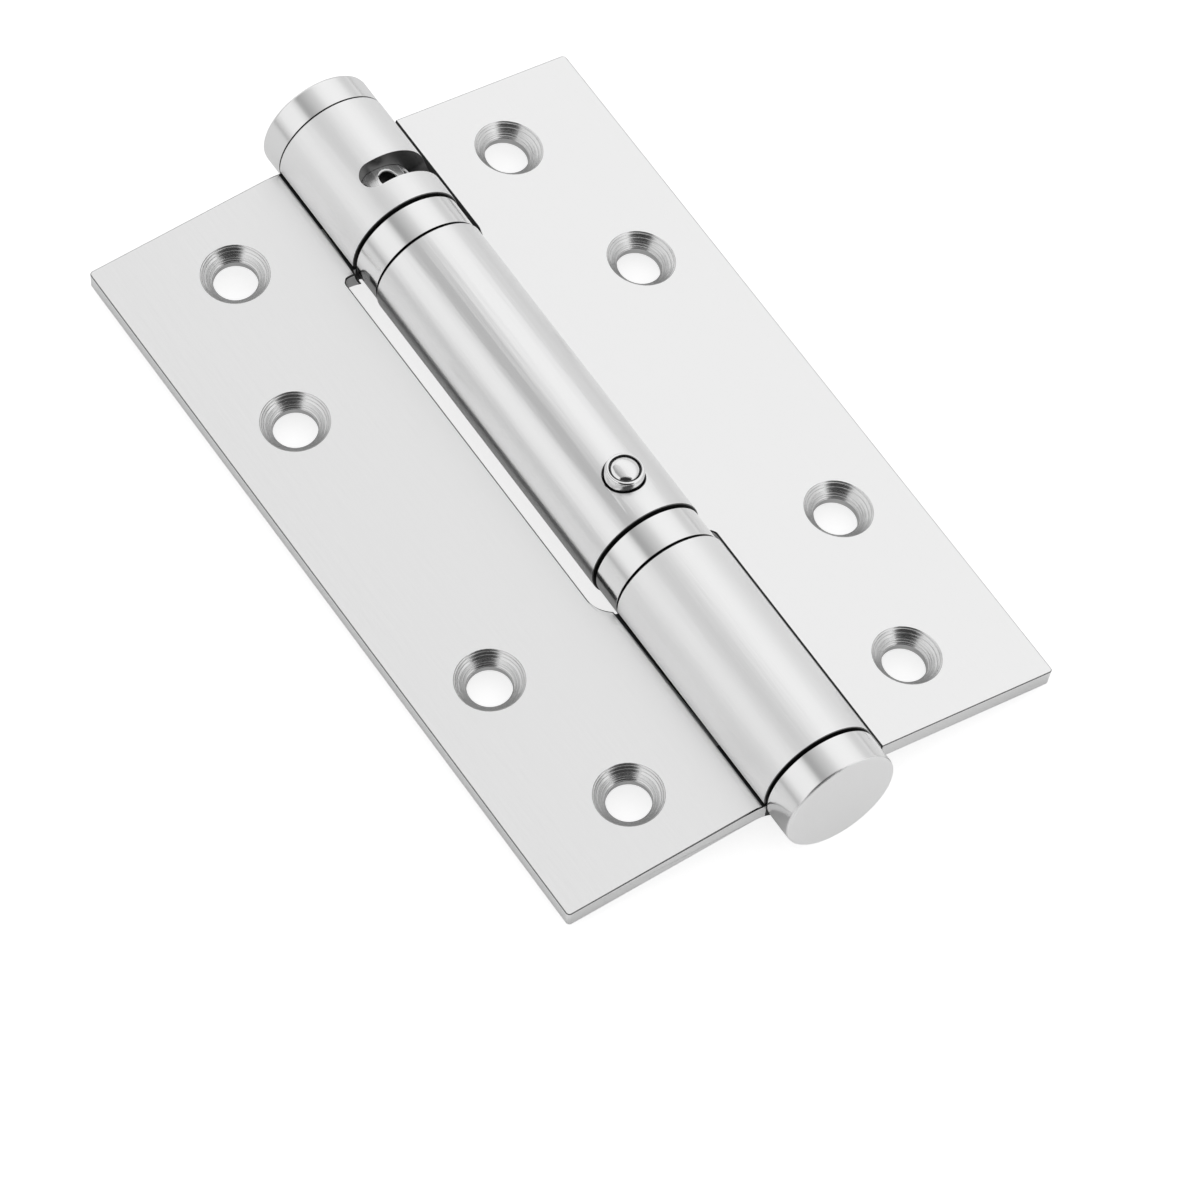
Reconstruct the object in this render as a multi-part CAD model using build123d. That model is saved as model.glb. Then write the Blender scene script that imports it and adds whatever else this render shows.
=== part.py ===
from build123d import *
from math import asin, atan2, cos, degrees, radians, sin, sqrt
import os

# A single-acting barrel spring hinge, lying open with its countersunk faces up.
# X runs across the leaves, Y along the barrel towards the winding end, and Z up.
# Y = 0 is half-way between the outer faces of the two end caps, and Z = 0 is the
# lowest line of the barrel. Pieces are drawn about the barrel axis and lifted at the end.
# Lengths are in millimetres and angles in degrees.

# Leaves and knuckles
LEAF_LENGTH = 127.0  # along the barrel
LEAF_REACH = 41.55  # barrel axis to the outer edge of a leaf
SHEET = 2.8  # thickness of the sheet
LEAF_DROP = 0.8  # countersunk face behind the barrel axis
KNUCKLE_RADIUS = 9.0
BEND_RADIUS = 5.0  # inside radius where a leaf turns into its knuckle
ROLL_SEAM = 0.25  # between the rolled end and the leaf's face
OPEN_ANGLE = 191.66  # between the countersunk faces as the hinge lies
LEAF_CORNER = 0.6

# Cut-outs for the other leaf's knuckles
CUT_OUT_MARGIN = 2.3  # barrel to the edge of a cut-out
SWEPT_CORNER = 4.0  # beside a knuckle's upper end
SMALL_CORNER = 1.0  # beside a knuckle's lower end
SHOULDER = 0.95  # leaf left standing past a knuckle's lower end
BARREL_CLEARANCE = 0.3  # around the barrel in a cut-out

# Screw holes, in pairs about the middle of a leaf
SCREW_RADIUS = 3.3
SINK_RADIUS = 5.15  # 90 degree countersink at the face
END_HOLE_REACH = 23.87
END_HOLE_SPACING = 103.68
MIDDLE_HOLE_REACH = 30.06
MIDDLE_HOLE_SPACING = 51.36

# Stack along the barrel, from the winding end
CAP_HEAD = 4.8
TOP_KNUCKLE = 20.05
RUNNING_GAP = 0.75
RING_LENGTH = 5.5
MIDDLE_KNUCKLE = 57.0
CAP_GAP = 1.0  # over the bottom cap

# Caps and rings
CAP_INSET = 0.05  # outside of a cap under the knuckles'
CAP_SPIGOT = 7.0
RING_INSET = 0.25  # outside of a ring under the knuckles'
RING_SPIGOT = 5.0
RING_WALL = 2.2  # of its spigot, around the shaft
WASHER_INSET = 0.75  # edge of a washer under a ring's

# Fits
RUNNING_CLEARANCE = 0.05  # radial, on bores that turn
COLLAR_CLEARANCE = 0.08  # radial, winding collar in the top knuckle
END_PLAY = 0.05  # between faces that turn on each other
LOOSE_PLAY = 0.3  # between pieces that never touch

# Winding window and spindle
WINDOW_WIDTH = 4.35
WINDOW_OFFSET = 6.65  # middle of the window above the top knuckle's lower end
WINDOW_START = -21.2  # from the leaf's normal, positive towards the other leaf
WINDOW_END = 90.8
BAR_HOLES = 8
BAR_HOLE_RADIUS = 1.4
BAR_HOLE_DEPTH = 2.3
BAR_HOLE_PHASE = 7.8
SHAFT_FLAT = 1.0  # depth of each flat that turns the driver
MANDREL_CLEARANCE = 0.95  # around the mandrel in the coil

# Spring and driver
DRIVER_LENGTH = 6.5
WIRE_RADIAL = 2.0
WIRE_AXIAL = 2.8
COIL_SPACE = 0.15  # between turns
COIL_STEPS = 12  # sections in one turn
COIL_CLEARANCE = 0.5  # around the coil in the knuckle
TANG_DEPTH = 2.2  # of each tang in its notch
TANG_INSET = 0.2  # by which a tang is narrower than the wire on each side
TANG_CLEARANCE = 0.1

# Anchor plug, stud and pivot pin
PIN_RISE = 3.2  # top of the pivot pin above the stud
PIN_TAIL = 1.5  # of the pivot pin below its ring
PIN_WEB = 4.0  # of the anchor plug above the pivot pin
STUD_OFFSET = 7.35  # above the middle knuckle's lower end
STUD_ANGLE = 5.0  # from the leaf's normal, towards the other leaf
STUD_RADIUS = 2.9
STUD_HOLE_RADIUS = 3.1
STUD_SHANK_RADIUS = 1.9
STUD_SHANK_END = 1.2  # barrel axis to the end of the shank
STUD_RISE = 1.5  # side of the head above the knuckle
STUD_BEVEL = 0.45

# Levels along Y
TOP = (LEAF_LENGTH + CAP_GAP) / 2 + CAP_HEAD
LEAF_TOP = TOP - CAP_HEAD
LEAF_LOW = LEAF_TOP - LEAF_LENGTH
TOP_KNUCKLE_LOW = LEAF_TOP - TOP_KNUCKLE
UPPER_RING_TOP = TOP_KNUCKLE_LOW - RUNNING_GAP
MIDDLE_TOP = UPPER_RING_TOP - RING_LENGTH
MIDDLE_LOW = MIDDLE_TOP - MIDDLE_KNUCKLE
LOWER_RING_TOP = MIDDLE_LOW - RUNNING_GAP
BOTTOM_KNUCKLE_TOP = LOWER_RING_TOP - RING_LENGTH
STUD_LEVEL = MIDDLE_LOW + STUD_OFFSET
PIN_TOP = STUD_LEVEL + PIN_RISE
PLUG_TOP = PIN_TOP + PIN_WEB
DRIVER_TOP = MIDDLE_TOP - RING_SPIGOT - LOOSE_PLAY
DRIVER_LOW = DRIVER_TOP - DRIVER_LENGTH
COIL_TOP = DRIVER_LOW - LOOSE_PLAY
COIL_LOW = PLUG_TOP + LOOSE_PLAY
PIN_LOW = BOTTOM_KNUCKLE_TOP - RING_SPIGOT - PIN_TAIL

# Sizes that follow from the ones above
BORE = KNUCKLE_RADIUS - SHEET
CUT_OUT_REACH = KNUCKLE_RADIUS + CUT_OUT_MARGIN
CAP_RADIUS = KNUCKLE_RADIUS - CAP_INSET
RING_RADIUS = KNUCKLE_RADIUS - RING_INSET
WASHER_RADIUS = RING_RADIUS - WASHER_INSET
DROOP = (OPEN_ANGLE - 180) / 2
SHAFT_RADIUS = BORE - RING_WALL
SHAFT_BORE = SHAFT_RADIUS + RUNNING_CLEARANCE
COLLAR_RADIUS = BORE - COLLAR_CLEARANCE
COIL_RADIUS = BORE - COIL_CLEARANCE
COIL_MEAN = COIL_RADIUS - WIRE_RADIAL / 2
COIL_BORE = COIL_RADIUS - WIRE_RADIAL
MANDREL_RADIUS = COIL_BORE - MANDREL_CLEARANCE
COIL_PITCH = WIRE_AXIAL + COIL_SPACE
COIL_RISE = COIL_TOP - COIL_LOW - WIRE_AXIAL
COIL_TURNS = COIL_RISE / COIL_PITCH
UPPER_TANG = -360 * COIL_TURNS  # from +X towards -Z
FAR = 3 * KNUCKLE_RADIUS  # safely outside the barrel


def turned(*corners):
    """A solid turned about the barrel axis from (radius, level) corners."""
    return revolve(make_face(Polyline(*corners, close=True)), axis=Axis.Y)


def rod(low, high, radius):
    """A plain cylinder about the barrel axis."""
    return turned((0, low), (radius, low), (radius, high), (0, high))


def radial(angle, level):
    """Placement on the barrel axis with its Z pointing out at an angle from +Z towards -X."""
    return Pos(0, level, 0) * Rot(0, -angle, 0)


def drilled(radius, inner, outer):
    """A cylinder along Z between two distances from the barrel axis."""
    return Pos(0, 0, (inner + outer) / 2) * Cylinder(radius, outer - inner)


def rolled_sheet():
    """One full-length leaf, flat on the +X side and rolled into a knuckle about the axis."""
    back = LEAF_DROP + SHEET
    reach = KNUCKLE_RADIUS + BEND_RADIUS
    bend_z = -(back + BEND_RADIUS)
    bend_x = sqrt(reach**2 - bend_z**2)
    join = degrees(atan2(bend_z, bend_x))
    turn = 90 + join
    seam = degrees(asin((ROLL_SEAM - LEAF_DROP) / KNUCKLE_RADIUS))
    sweep = 360 + join - seam
    seam_way = (cos(radians(seam)), sin(radians(seam)))
    inner_end = (BORE * seam_way[0], BORE * seam_way[1])
    outer_end = (KNUCKLE_RADIUS * seam_way[0], KNUCKLE_RADIUS * seam_way[1])
    edges = [
        Line((LEAF_REACH, -LEAF_DROP), (bend_x, -LEAF_DROP)),
        CenterArc((bend_x, bend_z), BEND_RADIUS + SHEET, 90, turn),
        CenterArc((0, 0), BORE, join, -sweep),
        Line(inner_end, outer_end),
        CenterArc((0, 0), KNUCKLE_RADIUS, join, -sweep),
        CenterArc((bend_x, bend_z), BEND_RADIUS, 90, turn),
        Line((bend_x, -back), (LEAF_REACH, -back)),
        Line((LEAF_REACH, -back), (LEAF_REACH, -LEAF_DROP)),
    ]
    profile = Plane.XZ * make_face(edges)
    sheet = Pos(0, LEAF_LOW, 0) * extrude(profile, amount=-LEAF_LENGTH)
    corners = sheet.edges().filter_by(Axis.Z).group_by(Axis.X)[-1]
    return fillet(corners, LEAF_CORNER)


def cut_out(low, high, low_corner, high_corner):
    """Plan of a cut-out from beyond the barrel to its edge beside the leaf."""
    width = CUT_OUT_REACH + FAR
    plan = Pos((CUT_OUT_REACH - FAR) / 2, (low + high) / 2) * Rectangle(width, high - low)
    for at_level, radius in ((0, low_corner), (-1, high_corner)):
        if radius > 0:
            corner = plan.vertices().group_by(Axis.X)[-1].sort_by(Axis.Y)[at_level]
            plan = fillet(corner, radius)
    return extrude(plan, amount=FAR, both=True)


def barrel_room(low, high):
    """Room for the other leaf's knuckles and the rings."""
    return rod(low, high, KNUCKLE_RADIUS + BARREL_CLEARANCE)


def screw_holes():
    """Four countersunk holes, cut from the leaf's face on the +X side."""
    depth = SINK_RADIUS - SCREW_RADIUS
    over = 0.2
    sink = Pos(0, 0, (over - depth) / 2) * Cone(SCREW_RADIUS, SINK_RADIUS + over, depth + over)
    drill = Cylinder(SCREW_RADIUS, 4 * SHEET)
    middle = (LEAF_TOP + LEAF_LOW) / 2
    rows = ((END_HOLE_REACH, END_HOLE_SPACING), (MIDDLE_HOLE_REACH, MIDDLE_HOLE_SPACING))
    holes = []
    for reach, spacing in rows:
        for end in (-1, 1):
            place = Pos(reach, middle + end * spacing / 2, -LEAF_DROP)
            holes.append(place * (sink + drill))
    return holes


def winding_window():
    """Curved slot with round ends through the front of the top knuckle."""
    level = TOP_KNUCKLE_LOW + WINDOW_OFFSET
    half = WINDOW_WIDTH / 2
    inset = degrees(asin(half / KNUCKLE_RADIUS))
    first = WINDOW_START + inset
    last = WINDOW_END - inset
    inner = BORE - 1
    outer = KNUCKLE_RADIUS + 1
    band = Pos((inner + outer) / 2, level) * Rectangle(outer - inner, WINDOW_WIDTH)
    sector = revolve(band, axis=Axis.Y, revolution_arc=last - first)
    slot = Rot(0, -90 - last, 0) * sector
    for angle in (first, last):
        slot += radial(angle, level) * drilled(half, inner, outer)
    return slot


def fixed_leaf():
    """Leaf with the top and bottom knuckles, on the -X side."""
    leaf = rolled_sheet()
    room_low = BOTTOM_KNUCKLE_TOP
    room_high = TOP_KNUCKLE_LOW
    leaf -= cut_out(room_low, room_high - SHOULDER, SWEPT_CORNER, SMALL_CORNER)
    leaf -= barrel_room(room_low, room_high)
    leaf -= screw_holes()
    leaf -= winding_window()
    return mirror(Rot(0, DROOP, 0) * leaf, about=Plane.YZ)


def swing_leaf():
    """Leaf with the middle knuckle, on the +X side."""
    leaf = rolled_sheet()
    leaf -= cut_out(MIDDLE_TOP, LEAF_TOP + 1, SWEPT_CORNER, 0)
    leaf -= barrel_room(MIDDLE_TOP, LEAF_TOP + 1)
    leaf -= cut_out(LEAF_LOW - 1, MIDDLE_LOW - SHOULDER, 0, SMALL_CORNER)
    leaf -= barrel_room(LEAF_LOW - 1, MIDDLE_LOW)
    leaf -= screw_holes()
    leaf -= radial(STUD_ANGLE, STUD_LEVEL) * drilled(STUD_HOLE_RADIUS, BORE - 1, KNUCKLE_RADIUS + 1)
    return Rot(0, DROOP, 0) * leaf


def cap(face, way, gap):
    """Round end cap on its spigot; way is +1 if the spigot points up, and gap is left under its head."""
    end = CAP_HEAD + gap + CAP_SPIGOT
    corners = [(0, 0), (0, end), (BORE, end), (BORE, CAP_HEAD), (CAP_RADIUS, CAP_HEAD), (CAP_RADIUS, 0)]
    return turned(*[(radius, face + way * depth) for radius, depth in corners])


def ring(top):
    """Turned ring, with a spigot pressed into the knuckle under it, that carries a shaft."""
    seat = top - RING_LENGTH
    low = seat - RING_SPIGOT
    outside = [(BORE, low), (BORE, seat), (RING_RADIUS, seat), (RING_RADIUS, top)]
    return turned((SHAFT_BORE, top), (SHAFT_BORE, low), *outside)


def thrust_washer(ring_top):
    """Bearing washer that fills the running gap over a ring."""
    high = ring_top + RUNNING_GAP - END_PLAY
    return rod(ring_top, high, WASHER_RADIUS) - rod(ring_top - 1, high + 1, SHAFT_BORE)


def flatted(low, high, clearance):
    """Shaft length with two flats, which face along X."""
    across = 2 * (SHAFT_RADIUS - SHAFT_FLAT + clearance)
    block = Pos(0, (low + high) / 2, 0) * Box(across, high - low, FAR)
    return rod(low, high, SHAFT_RADIUS + clearance) & block


def winding_spindle():
    """Collar with bar holes, shaft, flats and mandrel in one piece."""
    collar_low = TOP_KNUCKLE_LOW
    collar_high = LEAF_TOP - CAP_SPIGOT - LOOSE_PLAY
    body = rod(collar_low, collar_high, COLLAR_RADIUS)
    body += rod(DRIVER_TOP, collar_low + 1, SHAFT_RADIUS)
    body += Rot(0, UPPER_TANG, 0) * flatted(DRIVER_LOW, DRIVER_TOP, 0)
    body += rod(COIL_LOW, DRIVER_LOW + 1, MANDREL_RADIUS)
    level = TOP_KNUCKLE_LOW + WINDOW_OFFSET
    hole = drilled(BAR_HOLE_RADIUS, COLLAR_RADIUS - BAR_HOLE_DEPTH, COLLAR_RADIUS + 1)
    for step in range(BAR_HOLES):
        angle = -BAR_HOLE_PHASE + step * 360 / BAR_HOLES
        body -= radial(angle, level) * hole
    return body


def tang(angle, low, high):
    """Upright end of the wire, turned from +X towards -Z."""
    block = Box(WIRE_RADIAL - 2 * TANG_INSET, high - low, WIRE_AXIAL)
    return Rot(0, angle, 0) * Pos(COIL_MEAN, (low + high) / 2, 0) * block


def wire_corners(share):
    """Corners of the wire's section at a share of the way up the coil, inner ones first."""
    turn = radians(UPPER_TANG * share)
    middle = COIL_LOW + WIRE_AXIAL / 2 + COIL_RISE * share
    corners = []
    for radius, side in ((COIL_BORE, -1), (COIL_BORE, 1), (COIL_RADIUS, 1), (COIL_RADIUS, -1)):
        corners.append(Vector(radius * cos(turn), middle + side * WIRE_AXIAL / 2, -radius * sin(turn)))
    return corners


def torsion_spring():
    """Left-hand coil of flat wire, straight between its sections, with an upright tang at each end."""
    steps = round(COIL_TURNS * COIL_STEPS)
    sections = [wire_corners(step / steps) for step in range(steps + 1)]
    sides = [Face(Wire.make_polygon(sections[0])), Face(Wire.make_polygon(sections[-1]))]
    for here, there in zip(sections, sections[1:]):
        for corner in range(4):
            after = (corner + 1) % 4
            sides.append(Face(Wire.make_polygon([here[corner], here[after], there[corner]])))
            sides.append(Face(Wire.make_polygon([here[after], there[after], there[corner]])))
    coil = Solid(Shell(sides))
    lower = tang(0, PLUG_TOP - TANG_DEPTH, COIL_LOW + WIRE_AXIAL * 0.8)
    upper = tang(UPPER_TANG, COIL_TOP - WIRE_AXIAL * 0.8, DRIVER_LOW + TANG_DEPTH)
    return Part(coil.wrapped) + lower + upper


def tang_notch(angle, low, high):
    """Room for a tang, open to the outside of its plug."""
    inner = COIL_BORE - TANG_CLEARANCE
    block = Box(BORE - inner + 1, high - low, WIRE_AXIAL + 2 * TANG_CLEARANCE)
    return Rot(0, angle, 0) * Pos((BORE + 1 + inner) / 2, (low + high) / 2, 0) * block


def spring_driver():
    """Plug keyed on the spindle's flats, notched for the upper tang."""
    body = rod(DRIVER_LOW, DRIVER_TOP, BORE - LOOSE_PLAY)
    body -= Rot(0, UPPER_TANG, 0) * flatted(DRIVER_LOW - 1, DRIVER_TOP + 1, RUNNING_CLEARANCE)
    return body - tang_notch(UPPER_TANG, DRIVER_LOW - 1, DRIVER_LOW + TANG_DEPTH + TANG_CLEARANCE)


def anchor_plug():
    """Plug in the middle knuckle that holds the pivot pin and the lower tang."""
    body = rod(MIDDLE_LOW, PLUG_TOP, BORE)
    body -= rod(MIDDLE_LOW - 1, PIN_TOP, SHAFT_RADIUS)
    body -= tang_notch(0, PLUG_TOP - TANG_DEPTH - TANG_CLEARANCE, PLUG_TOP + 1)
    return body - radial(STUD_ANGLE - DROOP, STUD_LEVEL) * drilled(STUD_SHANK_RADIUS, 0, FAR)


def anchor_stud():
    """Stud through the knuckle's wall and the plug into the pivot pin."""
    rim = KNUCKLE_RADIUS + STUD_RISE
    bevel = rim + STUD_BEVEL / 2
    corners = [
        (0, bevel),
        (0, STUD_SHANK_END),
        (STUD_SHANK_RADIUS, STUD_SHANK_END),
        (STUD_SHANK_RADIUS, BORE),
        (STUD_RADIUS, BORE),
        (STUD_RADIUS, rim),
        (STUD_RADIUS - STUD_BEVEL, bevel),
    ]
    return radial(STUD_ANGLE - DROOP, STUD_LEVEL) * Rot(90, 0, 0) * turned(*corners)


def pivot_pin():
    """Pin held by the stud in the anchor plug, turning in the lower ring."""
    body = rod(PIN_LOW, PIN_TOP, SHAFT_RADIUS)
    return body - radial(STUD_ANGLE - DROOP, STUD_LEVEL) * drilled(STUD_SHANK_RADIUS, STUD_SHANK_END, FAR)


pieces = {
    "fixed_leaf": fixed_leaf(),
    "swing_leaf": swing_leaf(),
    "top_cap": cap(TOP, -1, 0),
    "bottom_cap": cap(-TOP, 1, CAP_GAP),
    "upper_ring": ring(UPPER_RING_TOP),
    "lower_ring": ring(LOWER_RING_TOP),
    "upper_washer": thrust_washer(UPPER_RING_TOP),
    "lower_washer": thrust_washer(LOWER_RING_TOP),
    "winding_spindle": winding_spindle(),
    "spring_driver": spring_driver(),
    "torsion_spring": torsion_spring(),
    "anchor_plug": anchor_plug(),
    "anchor_stud": anchor_stud(),
    "pivot_pin": pivot_pin(),
}

os.makedirs("parts", exist_ok=True)
for name, piece in pieces.items():
    export_step(Pos(0, 0, KNUCKLE_RADIUS) * piece, f"parts/{name}.step")
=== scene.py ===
# %% [markdown]
# # Spring hinge
#
# This is a single-acting spring hinge in stainless steel, lying open with its countersinks up. The
# CAD frame gives every piece its shape and place, so no large shape is made here. This script
# breaks the pieces' edges, gives each its finish, lays the hinge on a pale floor, and lights it as
# a product on white.

# %% The frame
import math

import bmesh
import bpy
from mathutils import Matrix, Vector


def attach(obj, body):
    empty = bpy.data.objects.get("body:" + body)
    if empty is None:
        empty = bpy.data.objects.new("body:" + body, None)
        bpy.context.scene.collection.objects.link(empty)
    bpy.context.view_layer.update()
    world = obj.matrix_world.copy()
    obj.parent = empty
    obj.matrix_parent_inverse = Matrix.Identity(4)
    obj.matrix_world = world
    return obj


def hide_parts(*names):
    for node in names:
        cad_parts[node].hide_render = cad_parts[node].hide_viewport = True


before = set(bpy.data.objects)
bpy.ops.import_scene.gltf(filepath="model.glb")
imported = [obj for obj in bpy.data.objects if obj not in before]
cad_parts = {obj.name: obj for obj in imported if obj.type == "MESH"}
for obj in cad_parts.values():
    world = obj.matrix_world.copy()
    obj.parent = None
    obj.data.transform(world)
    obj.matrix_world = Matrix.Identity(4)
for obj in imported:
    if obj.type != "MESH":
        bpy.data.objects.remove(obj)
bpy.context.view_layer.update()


# %% [markdown]
# ## Sizes
#
# Lengths are in metres. The barrel lies along Y with its axis one radius above the floor. A leaf
# droops a little from the barrel. Its screw holes are given by their distance from the axis and
# from the leaf's middle. These sizes repeat the CAD's, because they are used to tell one area of a
# piece from another, such as a countersink from the face around it.

# %% Sizes
MM = 0.001
BARREL_RADIUS = 9.0 * MM
BORE = 6.2 * MM
AXIS = Vector((0, 0, BARREL_RADIUS))
LEAF_DROOP = 5.83  # degrees
DROOP = math.radians(LEAF_DROOP)
FACE_DROP = 0.8 * MM
END_HOLE = (23.87 * MM, 51.84 * MM)
MIDDLE_HOLE = (30.06 * MM, 25.68 * MM)
SINK_RADIUS = 5.15 * MM
LEAF_MIDDLE = 0.5 * MM
WINDOW_LEVEL = 50.6 * MM
WINDOW_HALF = 2.25 * MM
ROLL_END = 8.4 * MM
CUT_OUT_REACH = 11.3 * MM

# %% [markdown]
# ## Materials
#
# The hinge is stainless steel all over, but each area was worked in its own way: brushed, rolled,
# turned, polished or only cut. A steel is a mirror that its roughness blurs, so the finishes differ
# most in roughness and in the direction of their grain. The grain could be painted on an image, but
# a noise on Object coordinates needs no unwrapping and stays with the piece as it moves. Colours
# are written in hex and go through one conversion.


# %% Helpers
def linear(hex_colour):
    """An sRGB hex colour as linear RGBA."""
    channels = [int(hex_colour[i : i + 2], 16) / 255 for i in (1, 3, 5)]
    return [c / 12.92 if c <= 0.04045 else ((c + 0.055) / 1.055) ** 2.4 for c in channels] + [1.0]


def add(tree, kind, links=None, **values):
    """Adds a node; links maps its inputs to sockets, values sets its properties and inputs."""
    node = tree.nodes.new(kind)
    for name, value in values.items():
        if hasattr(node, name):
            setattr(node, name, value)
        else:
            node.inputs[name.replace("_", " ")].default_value = value
    for name, socket in (links or {}).items():
        tree.links.new(socket, node.inputs[name])
    return node


def finish(name, colour, roughness, metallic=1.0):
    """A material with a plain Principled shader, and its tree and shader."""
    material = bpy.data.materials.new(name)
    material.use_nodes = True
    tree = material.node_tree
    shader = tree.nodes["Principled BSDF"]
    shader.inputs["Base Color"].default_value = linear(colour)
    shader.inputs["Metallic"].default_value = metallic
    shader.inputs["Roughness"].default_value = roughness
    return material, tree, shader


# Noise cells in a metre, about 0.8 mm each. Real brushing is finer and wouldn't show in the render.
GRAIN_SCALE = 1300.0
GRAIN_DETAIL = 3.0
GRAIN_DEPTH = 0.00006


def metal(name, colour, roughness, grain=0.0, stretch=(1, 1, 1)):
    """A metal with a fine grain; a small stretch along an axis draws the grain out along it."""
    material, tree, shader = finish(name, colour, roughness)
    if grain > 0:
        place = add(tree, "ShaderNodeTexCoord")
        object_place = {"Vector": place.outputs["Object"]}
        drawn = add(tree, "ShaderNodeMapping", object_place, Scale=stretch)
        cells = {"Scale": GRAIN_SCALE, "Detail": GRAIN_DETAIL}
        noise = add(tree, "ShaderNodeTexNoise", {"Vector": drawn.outputs[0]}, **cells)
        depth = {"Strength": grain, "Distance": GRAIN_DEPTH}
        bump = add(tree, "ShaderNodeBump", {"Height": noise.outputs["Fac"]}, **depth)
        tree.links.new(bump.outputs[0], shader.inputs["Normal"])
    return material


# %% Finishes
ALONG_LEAF = (1, 0.12, 1)
ALONG_BARREL = (1, 0.06, 1)
AROUND_BARREL = (0.1, 1, 0.1)

# Satin stainless sheet, brushed along the barrel: one even, soft grey over the whole leaf.
satin = metal("satin_leaf", "#F6F6F6", 0.42, grain=0.3, stretch=ALONG_LEAF)
# The same sheet on the middle knuckle, where rolling left it smoother: long, clear bands.
rolled = metal("satin_knuckle", "#F2F2F2", 0.29, grain=0.5, stretch=ALONG_BARREL)
# The outer knuckles, brushed softer: the same bands, but faint and wide.
soft_rolled = metal("soft_satin_knuckle", "#F8F8F8", 0.46, grain=0.6, stretch=ALONG_BARREL)
# Caps and rings, turned on a lathe: sharp bands, with the tool's marks around the barrel.
turned = metal("turned_steel", "#F0F0F0", 0.17, grain=0.2, stretch=AROUND_BARREL)
# Their flat ends, faced on the same lathe: plain and pale.
faced = metal("faced_steel", "#FAFAFA", 0.4, grain=0.6)
# The stud's polished head: a small, slightly uneven mirror.
polished = metal("polished_steel", "#F0F0F0", 0.06, grain=0.5)
# The winding collar, turned bright, seen only through its window.
collar = metal("winding_collar", "#FAFAFA", 0.26)
# Punched and sawn edges of the sheet and their bevels: a dull mid grey, partly the cut steel's
# duller look and partly a painted dark edge line. The same grey is painted shade on the knuckles'
# ends, in the bottom cap's gap and in the stud's groove.
cut = metal("cut_edge_and_painted_shade", "#727272", 0.45)
# Painted shade: steel in narrow gaps and holes, coloured nearly black where shade falls.
shaded = metal("painted_shade_steel", "#3E3E3E", 0.5)
# Tempered spring wire: dark grey.
spring_steel = metal("spring_steel", "#6E6E6E", 0.45)
# Moulded plastic bearing washers: dull black lines between the knuckles.
washer_black = finish("bearing_washer", "#121212", 0.6, metallic=0.0)[0]

# Rings in a metre, 0.2 mm apart. A real tool's marks are finer and wouldn't show in the render.
SINK_RINGS = 5000.0
SINK_RING_DEPTH = 0.00008


def sink_material():
    """Turned countersink: fine rings about the hole, from the distance to its axis."""
    material, tree, shader = finish("turned_countersink", "#E6E6E6", 0.2)
    radius = add(tree, "ShaderNodeAttribute", attribute_name="hole_radius")
    across = {"noise_dimensions": "1D", "Scale": SINK_RINGS}
    rings = add(tree, "ShaderNodeTexNoise", {"W": radius.outputs["Fac"]}, **across)
    depth = {"Strength": 1.0, "Distance": SINK_RING_DEPTH}
    bump = add(tree, "ShaderNodeBump", {"Height": rings.outputs["Fac"]}, **depth)
    tree.links.new(bump.outputs[0], shader.inputs["Normal"])
    return material


countersunk = sink_material()
print(len(bpy.data.materials), "materials so far")

# %% [markdown]
# ## Fine edges
#
# The CAD solids have square edges, and no real edge is quite square. A broken edge turns through
# all directions in a fraction of a millimetre, so it catches a thin bright or dark line, and those
# lines are what makes pressed and turned steel look real. The CAD pieces themselves must stay as
# they are, so each shown piece is a copy. Its loose triangles are first merged into one closed
# mesh, because a bevel needs real edges. The Bevel modifier takes its width from a weight on each
# edge, so that one piece can have wide and narrow bevels. Weighted normals then keep the large flat
# areas flat.

# %% Sizes of the edges
SHARP = math.radians(38)
FLAT = math.radians(0.3)
MERGE_DISTANCE = 1e-7
BEVEL_UNIT = 1.0 * MM  # the bevel that a weight of 1 gives
BEVEL_SEGMENTS = 3


# %% Copies with fine edges
def merged(node):
    """A copy of a CAD piece as one closed mesh with its flat areas joined."""
    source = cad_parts[node]
    work = bmesh.new()
    work.from_mesh(source.data)
    work.transform(source.matrix_world)
    bmesh.ops.remove_doubles(work, verts=work.verts, dist=MERGE_DISTANCE)
    bmesh.ops.dissolve_limit(work, angle_limit=FLAT, verts=work.verts, edges=work.edges)
    bmesh.ops.recalc_face_normals(work, faces=work.faces)
    return work


def off_axis(point):
    """Distance of a point from the barrel axis."""
    return math.hypot(point.x, point.z - BARREL_RADIUS)


def marked(work, width_at, finish_of):
    """Gives each sharp edge its bevel weight, and each face its finish and smooth shading."""
    weights = work.edges.layers.float.new("bevel_weight_edge")
    for edge in work.edges:
        if len(edge.link_faces) == 2 and edge.calc_face_angle() > SHARP:
            middle = (edge.verts[0].co + edge.verts[1].co) / 2
            edge[weights] = width_at(middle) / BEVEL_UNIT
    for face in work.faces:
        face.smooth = True
        face.material_index = finish_of(face.calc_center_median(), face.normal)
    for edge in work.edges:
        edge.smooth = edge[weights] > 0 or edge.calc_face_angle(math.pi) < SHARP


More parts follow.
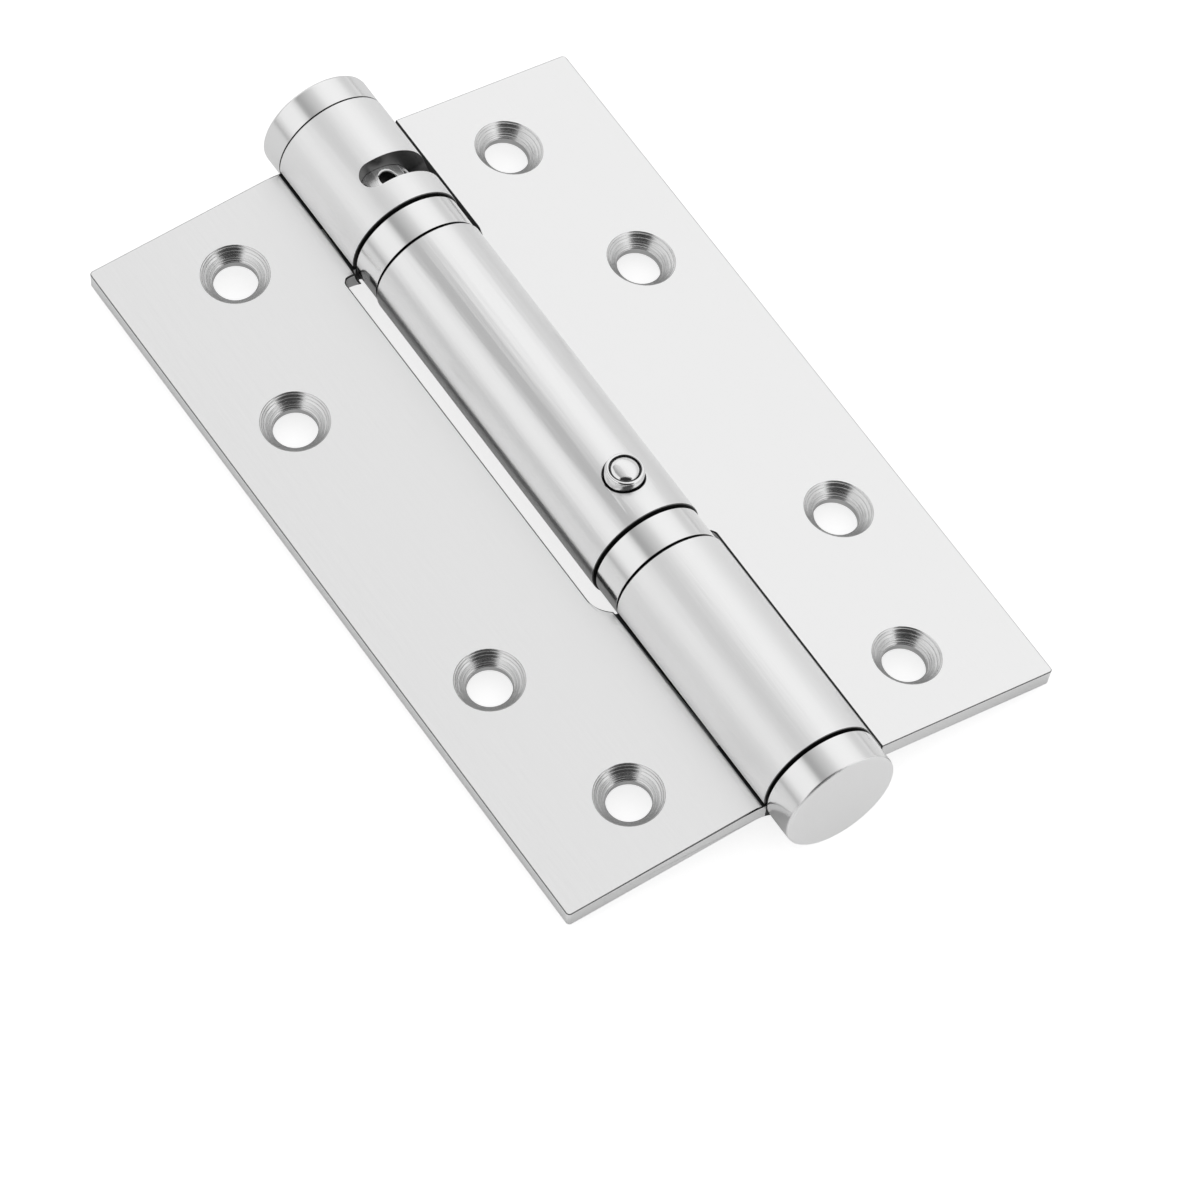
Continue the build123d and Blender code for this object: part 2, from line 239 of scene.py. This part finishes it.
def fine_edged(name, work, width_at, materials, finish_of, edge_finish=-1):
    """The mesh as an object: finish_of picks each face's material, width_at its bevels."""
    marked(work, width_at, finish_of)
    mesh = bpy.data.meshes.new(name)
    work.to_mesh(mesh)
    work.free()
    for material in materials:
        mesh.materials.append(material)
    piece = bpy.data.objects.new(name, mesh)
    bpy.context.scene.collection.objects.link(piece)
    bevel = piece.modifiers.new("edges", "BEVEL")
    bevel.limit_method = "WEIGHT"
    bevel.width = BEVEL_UNIT
    bevel.segments = BEVEL_SEGMENTS
    bevel.material = edge_finish
    bevel.use_clamp_overlap = False
    even = piece.modifiers.new("even_shading", "WEIGHTED_NORMAL")
    even.weight = 100
    even.keep_sharp = True
    graph = bpy.context.evaluated_depsgraph_get()
    piece.data = bpy.data.meshes.new_from_object(piece.evaluated_get(graph))
    piece.modifiers.clear()
    return piece


def shown(piece, node, body):
    """Puts a finished piece in its CAD node's place."""
    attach(piece, body)
    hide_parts(node)
    print(f"{node}: {len(piece.data.polygons)} faces, on the body {body}")


# %% [markdown]
# ## Leaves
#
# Each leaf is one pressed sheet, rolled into knuckles at the barrel. It has a satin face, brushed
# knuckles, turned countersinks, and cut walls at its knuckles' ends and in the winding window that
# are coloured darker as painted shade. The areas could be picked by hand, but a rule on where a face
# lies still works when the CAD changes. The end of the roll runs into the flat face with no edge
# between them, so the mesh is cut there first, to give each finish a clean border.

# %% Sizes on the leaves
KNUCKLE_BEVEL = 0.13 * MM
CUT_OUT_BEVEL = 0.2 * MM
LEAF_BEVEL = 0.12 * MM
CUT_OUT_ZONE = CUT_OUT_REACH + 0.3 * MM  # walls and bevels beside the barrel lie within this
WALL_ZONE = BORE + 0.1 * MM  # and the bore's own surface within this
ON_CUT = 0.001 * MM
SATIN, KNUCKLE, SINK, CUT_WALL, SHADED_WALL = range(5)


# %% Where the holes are
def hole_axes(side):
    """Centre and direction of each screw hole; side is -1 for the fixed leaf, +1 for the other."""
    normal = Vector((side * math.sin(DROOP), 0, math.cos(DROOP)))
    outward = Vector((side * math.cos(DROOP), 0, -math.sin(DROOP)))
    axes = []
    for reach, half_spacing in (END_HOLE, MIDDLE_HOLE):
        for end in (-1, 1):
            centre = AXIS + outward * reach - normal * FACE_DROP
            centre.y = LEAF_MIDDLE + end * half_spacing
            axes.append((centre, normal))
    return axes


def hole_distance(point, axes):
    """Distance of a point from the nearest screw hole's axis."""
    distances = []
    for centre, normal in axes:
        offset = point - centre
        distances.append((offset - normal * offset.dot(normal)).length)
    return min(distances)


# %% Bevels and finishes of a leaf
def leaf_width(axes):
    """Bevel widths on a leaf: wider at its cut-outs, none at its holes and window."""

    def width_at(point):
        if off_axis(point) < BARREL_RADIUS + 0.02 * MM:
            return 0.0 if abs(point.y - WINDOW_LEVEL) < WINDOW_HALF else KNUCKLE_BEVEL
        if hole_distance(point, axes) < SINK_RADIUS + 0.2 * MM:
            return 0.0
        return CUT_OUT_BEVEL if off_axis(point) < CUT_OUT_ZONE else LEAF_BEVEL

    return width_at


def leaf_finish(axes):
    """Chooses a face's finish by where it lies and which way it faces."""
    upright = axes[0][1]

    def finish_of(centre, normal):
        radius = off_axis(centre)
        near_hole = hole_distance(centre, axes) < SINK_RADIUS + 0.1 * MM
        if near_hole and abs(normal.dot(upright)) < 0.9:
            return SINK
        if radius > BARREL_RADIUS + 0.05 * MM:
            facing_barrel = radius < CUT_OUT_ZONE and abs(normal.x) > 0.9
            # Walls beside the barrel take the near-black painted shade, except in the swinging
            # leaf's lower cut-out.
            return SHADED_WALL if facing_barrel and not centre.y < 0 < centre.x else SATIN
        outward = Vector((centre.x, 0, centre.z - BARREL_RADIUS)).normalized()
        if normal.dot(outward) > 0.6:
            return KNUCKLE
        # Knuckle ends take the cut grey and the bore the near-black, both as painted shade.
        return CUT_WALL if radius > WALL_ZONE else SHADED_WALL

    return finish_of


# %% Clean borders
def joined_across(work, side, levels):
    """Cuts a leaf at its roll's end and its holes' levels, and joins its other flat areas."""
    planes = [((0, level, 0), (0, 1, 0)) for level in levels]
    planes.append(((side * ROLL_END, 0, 0), (1, 0, 0)))
    for place, way in planes:
        parts = work.verts[:] + work.edges[:] + work.faces[:]
        bmesh.ops.bisect_plane(work, geom=parts, plane_co=place, plane_no=way)

    def off_plane(vertex, place, way):
        return abs((vertex.co - Vector(place)).dot(Vector(way)))

    def on_cut(edge):
        return any(
            all(off_plane(vertex, place, way) < ON_CUT for vertex in edge.verts)
            for place, way in planes
        )

    flat = [edge for edge in work.edges if edge.calc_face_angle(math.pi) < FLAT]
    loose = [edge for edge in flat if not on_cut(edge)]
    bmesh.ops.dissolve_edges(work, edges=loose, use_verts=True)


# %% The two leaves
def leaf(node, body, side, knuckle_finish):
    """A leaf with its finishes."""
    axes = hole_axes(side)
    work = merged(node)
    joined_across(work, side, [centre.y for centre, _ in axes])
    finishes = (satin, knuckle_finish, countersunk, cut, shaded)
    rules = (leaf_width(axes), finishes, leaf_finish(axes))
    piece = fine_edged(node + "_fine", work, *rules, edge_finish=CUT_WALL)
    # Bevels beside the barrel take the near-black: a painted dark line along the cut-outs and
    # knuckle gaps.
    for face in piece.data.polygons:
        beside_barrel = BARREL_RADIUS + 0.2 * MM < off_axis(face.center) < CUT_OUT_ZONE
        if face.material_index == CUT_WALL and beside_barrel:
            face.material_index = SHADED_WALL
    radii = piece.data.attributes.new("hole_radius", "FLOAT", "POINT")
    distances = [hole_distance(vertex.co, axes) for vertex in piece.data.vertices]
    radii.data.foreach_set("value", distances)
    shown(piece, node, body)


leaf("fixed_leaf", "fixed", -1, soft_rolled)
leaf("swing_leaf", "swing", 1, rolled)

# %% [markdown]
# ## Caps, rings and washers
#
# The caps and rings are turned, and each has a spigot that goes into a knuckle. A dark line shows
# where it sits. A boolean or a dark texture could draw that line, but a real gap also looks right
# from the other sides, so the seat's face is moved along the barrel by the line's width. The faces
# in the gap are also coloured dark, as painted shade. A minus sign closes a gap instead: the bottom
# cap stands 1 mm off its knuckle in the CAD and about half of that in the picture. The rings are
# also drawn a quarter of a millimetre longer and the washers that much thinner, for the same reason.

# %% Sizes on the turned pieces
AT_LEVEL = 0.01 * MM
PRESSED = 0.25 * MM
PAST_SEAT = 3 * MM  # the far end of a piece lies more than this from its seat
SIDE_FACE, END_FACE, INSIDE_FACE = range(3)


# %% Caps, rings and washers
def moved(work, level, by):
    """Moves a turned piece's face at one level along the barrel."""
    for vertex in work.verts:
        if abs(vertex.co.y - level) < AT_LEVEL:
            vertex.co.y += by


def seated(node, body, seat, away, line, edge, rim, inside, reach=0.0):
    """A turned piece whose seat, at one level, is moved away by the width of its dark line; the
    faces in its gap take the inside material, a painted shade.
    """
    work = merged(node)
    far = max(work.verts, key=lambda vertex: away * vertex.co.y).co.y
    moved(work, far, away * reach)
    for vertex in work.verts:
        if abs(vertex.co.y - seat) < AT_LEVEL and off_axis(vertex.co) > WALL_ZONE:
            vertex.co.y += away * line

    def width_at(point):
        if off_axis(point) < WALL_ZONE:
            return 0.0
        return rim if away * (point.y - seat) > PAST_SEAT else edge

    def finish_of(centre, normal):
        if off_axis(centre) < WALL_ZONE and away * (centre.y - seat) < line + 0.02 * MM:
            return INSIDE_FACE
        if abs(normal.y) > 0.99:
            return END_FACE if away * normal.y > 0 else INSIDE_FACE
        return SIDE_FACE

    piece = fine_edged(node + "_fine", work, width_at, (turned, faced, inside), finish_of)
    shown(piece, node, body)


def washer(node, body, level, by):
    """A bearing washer with its face at one level moved."""
    work = merged(node)
    moved(work, level, by)

    def square(point):
        return 0.0

    def one_finish(centre, normal):
        return 0

    piece = fine_edged(node + "_fine", work, square, (washer_black,), one_finish)
    shown(piece, node, body)


CAP_EDGE = 0.12 * MM
RING_LINE = 0.42 * MM
RING_EDGE = 0.14 * MM
RING_RIM = 0.1 * MM
seated("top_cap", "fixed", 64.0 * MM, 1, 0.12 * MM, CAP_EDGE, 0.5 * MM, shaded)
seated("bottom_cap", "fixed", -64.0 * MM, -1, -0.45 * MM, CAP_EDGE, 0.55 * MM, cut)
ring = (1, RING_LINE, RING_EDGE, RING_RIM, shaded, PRESSED)
seated("upper_ring", "swing", 37.7 * MM, *ring)
seated("lower_ring", "fixed", -25.55 * MM, *ring)
washer("upper_washer", "swing", 43.2 * MM, PRESSED)
washer("lower_washer", "fixed", -20.05 * MM, PRESSED)

# %% [markdown]
# ## Winding collar
#
# The collar is the thick end of the spindle. A bar goes into one of its holes through the window and
# winds the spring. Each hole has a bright chamfer around an inside coloured near-black as painted
# shade, and in the picture that chamfer is all that tells the hole from the shadow, so it is wider
# than any other edge here.

# %% Winding collar
COLLAR_LEVEL = 43.9 * MM
COLLAR_SIDE = BORE - 0.35 * MM
COLLAR_CHAMFER = 0.3 * MM
COLLAR_SURFACE, HOLE_INSIDE, CHAMFER = range(3)


def winding_collar():
    """The spindle with bright rims at its bar holes."""
    work = merged("winding_spindle")

    def width_at(point):
        on_collar = point.y > COLLAR_LEVEL and off_axis(point) > COLLAR_SIDE
        return COLLAR_CHAMFER if on_collar else 0.0

    def finish_of(centre, normal):
        outward = Vector((centre.x, 0, centre.z - BARREL_RADIUS)).normalized()
        turned_in = abs(normal.dot(outward)) < 0.99
        on_collar = centre.y > COLLAR_LEVEL + 0.2 * MM
        # Hole insides take the near-black painted shade.
        return HOLE_INSIDE if on_collar and turned_in else COLLAR_SURFACE

    rules = (width_at, (collar, shaded, satin), finish_of)
    piece = fine_edged("winding_spindle_fine", work, *rules, edge_finish=CHAMFER)
    shown(piece, "winding_spindle", "winder")


winding_collar()

# %% [markdown]
# ## Anchor stud
#
# The stud goes through the middle knuckle and holds the spring's lower end. It is turned, so it is
# made as on a lathe: a profile of (radius, height above the barrel axis) corners, turned about Z
# and then set in its place. It has a round shank and head, a bright rim, a narrow groove, and a
# polished dome. The Screw modifier would do the same, but rows of points made here also tell which
# faces belong to the groove.

# %% Sizes of the stud
STUD_LEVEL = -11.95 * MM
STUD_TILT = math.radians(5.0 - LEAF_DROOP)
STUD_STEPS = 96
# In millimetres.
STUD_SIDE = (
    (0, 1.2),
    (1.9, 1.2),
    (1.9, 6.2),
    (2.9, 6.2),
    (2.9, 9.9),
    (2.84, 10.2),
    (2.74, 10.38),
    (2.6, 10.46),
)
STUD_GROOVE = ((2.46, 10.46), (2.38, 10.4), (2.34, 9.9), (2.24, 9.9))
DOME_RADIUS = 2.24
DOME_FOOT = 9.9
DOME_RISE = 1.1
DOME_STEPS = 12
GROOVE_BANDS = range(len(STUD_SIDE) + 1, len(STUD_SIDE) + 4)


# %% Anchor stud
def stud_profile():
    """Corners of the stud's profile, from its shank's end to the top of its dome."""
    dome = []
    for step in range(DOME_STEPS + 1):
        turn = math.radians(90 * step / DOME_STEPS)
        dome.append((DOME_RADIUS * math.cos(turn), DOME_FOOT + DOME_RISE * math.sin(turn)))
    return [*STUD_SIDE, *STUD_GROOVE, *dome]


def lathe(name, profile, steps):
    """A closed mesh turned about Z; its (radius, height) corners start and end on the axis."""
    work = bmesh.new()
    rows = []
    for radius, height in profile:
        count = 1 if radius < 1e-6 else steps
        turns = [2 * math.pi * step / steps for step in range(count)]
        places = [(radius * math.cos(t), radius * math.sin(t), height) for t in turns]
        rows.append([work.verts.new(place) for place in places])
    for low, high in zip(rows, rows[1:]):
        for step in range(steps):
            after = (step + 1) % steps
            below = [low[step % len(low)], low[after % len(low)]]
            above = [high[after % len(high)], high[step % len(high)]]
            around = below + above
            corners = [v for place, v in enumerate(around) if v not in around[:place]]
            work.faces.new(corners)
    bmesh.ops.recalc_face_normals(work, faces=work.faces)
    mesh = bpy.data.meshes.new(name)
    work.to_mesh(mesh)
    work.free()
    return mesh


def anchor_stud():
    """The turned stud, standing out of the middle knuckle."""
    profile = [(radius * MM, height * MM) for radius, height in stud_profile()]
    mesh = lathe("anchor_stud_fine", profile, STUD_STEPS)
    place = Matrix.Translation(AXIS + Vector((0, STUD_LEVEL, 0)))
    mesh.transform(place @ Matrix.Rotation(-STUD_TILT, 4, "Y"))
    mesh.materials.append(polished)
    mesh.materials.append(cut)
    for face in mesh.polygons:
        # The groove's faces take the cut grey: painted shade in the groove.
        face.material_index = 1 if face.index // STUD_STEPS in GROOVE_BANDS else 0
    mesh.polygons.foreach_set("use_smooth", [True] * len(mesh.polygons))
    mesh.set_sharp_from_angle(angle=SHARP)
    piece = bpy.data.objects.new("anchor_stud_fine", mesh)
    bpy.context.scene.collection.objects.link(piece)
    shown(piece, "anchor_stud", "swing")


anchor_stud()

# %% [markdown]
# ## Inner pieces
#
# The spring, its driver, its plug and the lower pin are closed in the barrel. Their edges are never
# seen, so the CAD pieces are kept as they are and only take a material.

# %% Inner pieces
INNER = {
    "spring_driver": turned,
    "anchor_plug": turned,
    "pivot_pin": turned,
    "torsion_spring": spring_steel,
}
for node, material in INNER.items():
    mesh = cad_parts[node].data
    mesh.materials.clear()
    mesh.materials.append(material)
print("inner pieces:", ", ".join(INNER))

# %% [markdown]
# ## Floor and world
#
# A product picture shows the object on pure white with a soft shadow. More light would wash out the
# steel, so the world lights everything at one plain level, and the floor's own colour is lifted to
# white only where the camera sees it. What light does not reach stays darker, and that is the
# shadow. Steel mirrors the floor too, so reflections get a smaller lift, a painted glow on the floor
# that only steel sees. It is strongest near the hinge and fades with the distance from it, and it is
# weaker under the leaves, as painted shade where a real floor is in shade.


# %% Floor and world
def mesh_object(name, corners, faces, material):
    """A plain mesh object with one material."""
    mesh = bpy.data.meshes.new(name)
    mesh.from_pydata(corners, [], faces)
    mesh.materials.append(material)
    made = bpy.data.objects.new(name, mesh)
    bpy.context.scene.collection.objects.link(made)
    return made


FLOOR_HALF = 4.0
LEAVES_HALF = (0.0415, 0.0645, 0.0)
SEEN_LIFT = 0.75  # for the camera
# The next lifts are a painted glow on the floor for reflections; UNDER_LEAVES is a painted shade
# under the leaves.
NEAR_LIFT = 0.33  # for reflections, from NEAR_START out
FAR_LIFT = 0.05  # for reflections, from NEAR_END out
NEAR_START = 0.04
NEAR_END = 0.34
UNDER_LEAVES = 0.4  # share of the reflections' lift that is left there
SHADE_EDGE = 0.0015
WORLD_LEVEL = 0.875
WHITE = (1.0, 1.0, 1.0, 1.0)


def floor_material():
    """A pale floor, lifted to white for the camera, with a painted glow for reflections and painted
    shade under the leaves.
    """
    material, tree, shader = finish("floor_white", "#B4B4B4", 1.0, metallic=0.0)
    shader.inputs["Specular IOR Level"].default_value = 0.0
    shader.inputs["Emission Color"].default_value = WHITE

    path = add(tree, "ShaderNodeLightPath")
    by_camera = {0: path.outputs["Is Camera Ray"]}
    seen = add(tree, "ShaderNodeMath", by_camera, operation="MULTIPLY")
    seen.inputs[1].default_value = SEEN_LIFT
    place = add(tree, "ShaderNodeTexCoord")
    place_in = {0: place.outputs["Object"]}
    spread = add(tree, "ShaderNodeVectorMath", place_in, operation="ABSOLUTE")
    beyond = add(tree, "ShaderNodeVectorMath", {0: spread.outputs[0]}, operation="SUBTRACT")
    beyond.inputs[1].default_value = LEAVES_HALF
    sides = add(tree, "ShaderNodeSeparateXYZ", {"Vector": beyond.outputs[0]})
    both = {0: sides.outputs["X"], 1: sides.outputs["Y"]}
    clear = add(tree, "ShaderNodeMath", both, operation="MAXIMUM")
    # Under the leaves the reflections' lift is cut down: painted shade.
    shade = {"From_Max": SHADE_EDGE, "To_Min": UNDER_LEAVES}
    open_floor = add(tree, "ShaderNodeMapRange", {"Value": clear.outputs[0]}, **shade)
    # The reflections' lift, a painted glow, is strongest near the hinge.
    fade = {"From_Min": NEAR_START, "From_Max": NEAR_END, "To_Min": NEAR_LIFT, "To_Max": FAR_LIFT}
    near = add(tree, "ShaderNodeMapRange", {"Value": clear.outputs[0]}, **fade)
    shares = {0: near.outputs[0], 1: open_floor.outputs[0]}
    strength = add(tree, "ShaderNodeMath", shares, operation="MULTIPLY")
    by_steel = {0: path.outputs["Is Glossy Ray"], 1: strength.outputs[0]}
    mirrored = add(tree, "ShaderNodeMath", by_steel, operation="MULTIPLY")
    lifts = {0: seen.outputs[0], 1: mirrored.outputs[0]}
    lift = add(tree, "ShaderNodeMath", lifts, operation="ADD")
    tree.links.new(lift.outputs[0], shader.inputs["Emission Strength"])
    return material


CORNERS = ((-1, -1), (1, -1), (1, 1), (-1, 1))
floor_corners = [(x * FLOOR_HALF, y * FLOOR_HALF, 0) for x, y in CORNERS]
mesh_object("floor", floor_corners, [(0, 1, 2, 3)], floor_material())

world = bpy.data.worlds.new("studio")
bpy.context.scene.world = world
world.use_nodes = True
background = world.node_tree.nodes["Background"]
background.inputs["Color"].default_value = WHITE
background.inputs["Strength"].default_value = WORLD_LEVEL
print("floor of", 2 * FLOOR_HALF, "m, world at", WORLD_LEVEL)

# %% [markdown]
# ## Light tent
#
# Steel looks like what it reflects, and in an even white room it would look like grey paper. A
# studio hangs bright and dark panels around it. Here a half-round tent over the barrel does so. It
# is seen only in reflections, so it draws the bands along the knuckles and lights nothing. Its
# brightness is kept on its points, which lets one mesh stand for many soft-edged panels. A dark
# card stands for the room behind the camera, and shows in the countersinks and on the stud's dome.

# %% Sizes of the tent
TENT_RADIUS = 1.2
TENT_HALF_LENGTH = 2.4
TENT_EDGE = 92  # degrees down each side
# Angle from straight up towards +X, in degrees, and the panel's brightness there.
PANELS = (
    (-92, 0.40),
    (-84, 0.70),
    (-72, 0.93),
    (-46, 0.95),
    (-36, 0.80),
    (-30, 0.39),
    (-23, 0.42),
    (-17, 0.50),
    (0, 0.70),
    (12, 0.93),
    (24, 0.99),
    (42, 0.99),
    (58, 0.92),
    (67, 0.74),
    (79, 0.68),
    (88, 0.84),
)
CARD_WAY = Vector((-0.306, -0.766, 0.563))
CARD_DISTANCE = 1.0
CARD_SOLID = 0.56
CARD_EDGE = 0.8
CARD_STEPS = 48
CARD_GLOW = 0.03


# %% Light tent
def panel_shade(angle):
    """Brightness of the tent at an angle, straight between the named panels."""
    for (low, dark), (high, bright) in zip(PANELS, PANELS[1:]):
        if angle <= high:
            share = max(0.0, (angle - low) / (high - low))
            return dark + (bright - dark) * share
    return PANELS[-1][1]


def panelled(name):
    """A material with no shader yet, its tree, and the panel attribute that it follows."""
    material = bpy.data.materials.new(name)
    material.use_nodes = True
    tree = material.node_tree
    tree.nodes.remove(tree.nodes["Principled BSDF"])
    return material, tree, add(tree, "ShaderNodeAttribute", attribute_name="panel")


def glow(name):
    """Light of the strength that the panel attribute gives."""
    material, tree, panel = panelled(name)
    light = add(tree, "ShaderNodeEmission", {"Color": panel.outputs["Color"]})
    tree.links.new(light.outputs[0], tree.nodes["Material Output"].inputs["Surface"])
    return material


def only_mirrored(card, shades):
    """Gives a panel its brightness and hides it from all but reflections."""
    panel = card.data.attributes.new("panel", "FLOAT", "POINT")
    panel.data.foreach_set("value", shades)
    card.visible_camera = False
    card.visible_diffuse = False
    card.visible_shadow = False
    card.visible_transmission = False


def tent():
    """Half-round tent along the barrel."""
    corners = []
    faces = []
    shades = []
    for angle in range(-TENT_EDGE, TENT_EDGE + 1):
        turn = math.radians(angle)
        x = TENT_RADIUS * math.sin(turn)
        z = TENT_RADIUS * math.cos(turn) + BARREL_RADIUS
        corners += [(x, -TENT_HALF_LENGTH, z), (x, TENT_HALF_LENGTH, z)]
        shades += [panel_shade(angle)] * 2
        if angle > -TENT_EDGE:
            last = len(corners)
            faces.append((last - 4, last - 3, last - 1, last - 2))
    only_mirrored(mesh_object("tent", corners, faces, glow("tent_panels")), shades)


# %% Dark card
def fading():
    """Darkness that is as solid as the panel attribute says."""
    material, tree, panel = panelled("card_panel")
    clear = add(tree, "ShaderNodeBsdfTransparent")
    dark = add(tree, "ShaderNodeEmission", Strength=CARD_GLOW)
    parts = {0: panel.outputs["Fac"], 1: clear.outputs[0], 2: dark.outputs[0]}
    both = add(tree, "ShaderNodeMixShader", parts)
    tree.links.new(both.outputs[0], tree.nodes["Material Output"].inputs["Surface"])
    return material


def dark_card():
    """Round card that is dark in the middle and fades away at its edge."""
    way = CARD_WAY.normalized()
    turn = way.to_track_quat("Z", "Y")
    middle = way * CARD_DISTANCE
    corners = [middle]
    for radius in (CARD_SOLID, CARD_EDGE):
        for step in range(CARD_STEPS):
            around = math.radians(step * 360 / CARD_STEPS)
            spoke = turn @ Vector((math.cos(around), math.sin(around), 0))
            corners.append(middle + spoke * radius)
    faces = []
    for step in range(CARD_STEPS):
        faces.append((0, step + 1, (step + 1) % CARD_STEPS + 1))
    for step in range(CARD_STEPS):
        here, after = step + 1, (step + 1) % CARD_STEPS + 1
        faces.append((here, here + CARD_STEPS, after + CARD_STEPS, after))
    shades = [1.0] * (CARD_STEPS + 1) + [0.0] * CARD_STEPS
    only_mirrored(mesh_object("dark_card", corners, faces, fading()), shades)


tent()
dark_card()
print(len(PANELS), "tent panels and one dark card")

# %% [markdown]
# ## Camera
#
# The camera stands over a metre off with a long lens, above and beside the hinge's foot, so the
# far end looks hardly smaller than the near one. Its place, aim and roll were fitted to the picture.

# %% Camera
CAMERA_PLACE = Vector((-0.45192, -0.53094, 0.96437))
CAMERA_AIM = Vector((-0.01055, -0.02351, 0.009))
CAMERA_ROLL = 0.16326
LENS_MM = 248.83

camera_data = bpy.data.cameras.new("camera")
camera_data.sensor_width = 36.0
camera_data.lens = LENS_MM
camera_data.clip_end = 10.0
camera = bpy.data.objects.new("camera", camera_data)
bpy.context.scene.collection.objects.link(camera)
level_look = (CAMERA_AIM - CAMERA_PLACE).to_track_quat("-Z", "Y").to_matrix()
look = level_look @ Matrix.Rotation(CAMERA_ROLL, 3, "Z")
camera.location = CAMERA_PLACE
camera.rotation_euler = look.to_euler()
bpy.context.scene.camera = camera
bpy.context.scene.view_settings.view_transform = "Standard"
print("camera", round((CAMERA_AIM - CAMERA_PLACE).length, 3), "m from its aim")
